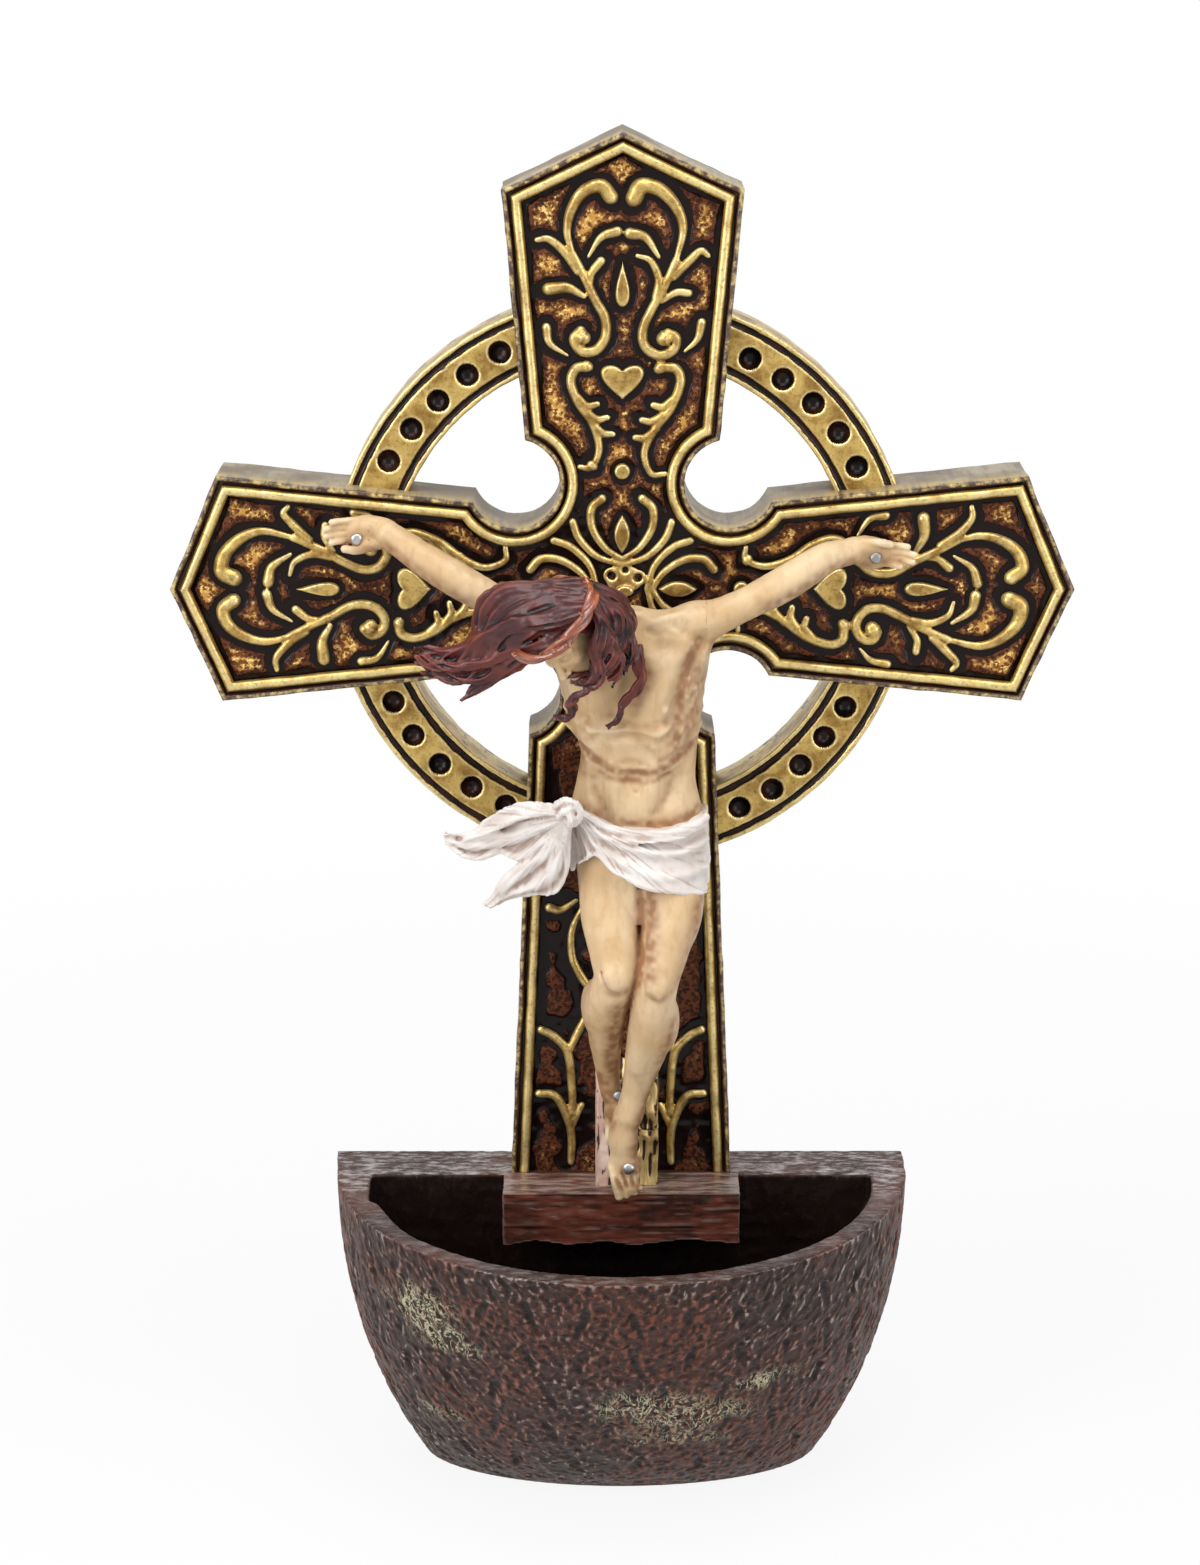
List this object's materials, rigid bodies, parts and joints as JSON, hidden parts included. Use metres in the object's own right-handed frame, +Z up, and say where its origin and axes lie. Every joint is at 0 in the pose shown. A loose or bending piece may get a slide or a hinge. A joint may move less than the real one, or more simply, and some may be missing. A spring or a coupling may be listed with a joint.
{
  "type": "holy water stoup",
  "caption": "Wall-hung holy water stoup: a half-round basin with a ledge, under a ringed cross with gilt scrollwork and a crucified figure.",
  "frame": {"origin": "on the wall plane, at the middle of the basin's base edge", "axes": "+Z up, +Y into the wall, +X to the viewer's right"},
  "size_m": [0.154, 0.0603, 0.243],
  "materials": {
    "basin_resin": "dark brown bark-like cast resin, rubbed lighter on the ridges",
    "block_resin": "red-brown wood-grained cast resin",
    "cross_resin": "dark brown pitted cast resin",
    "gilt": "antique gold paint with a dark wash in the recesses",
    "flesh": "hand-painted ochre flesh",
    "cloth": "off-white painted drapery",
    "hair": "dark red-brown paint",
    "thorns": "orange-brown paint",
    "steel": "plain steel"
  },
  "bodies": {
    "root": {"basin": "basin_resin", "foot_block": "block_resin", "cross": "cross_resin", "cross_bead": "gilt", "ring_upper_left": "gilt", "ring_upper_right": "gilt", "ring_lower_left": "gilt", "ring_lower_right": "gilt", "ornament_top": "gilt", "ornament_left": "gilt", "ornament_right": "gilt", "ornament_centre": "gilt", "ornament_shaft": "gilt", "footrest": "gilt", "torso": "flesh", "head": "flesh", "left_arm": "flesh", "right_arm": "flesh", "left_leg": "flesh", "right_leg": "flesh", "loincloth": "cloth", "loincloth_knot": "cloth", "hair": "hair", "beard": "hair", "crown_of_thorns": "thorns", "hand_nails": "steel", "foot_nails": "steel", "cross_dowels": "steel", "corpus_pin": "steel", "hanger_plate": "steel", "hanger_screws": "steel"}
  },
  "joints": []
}
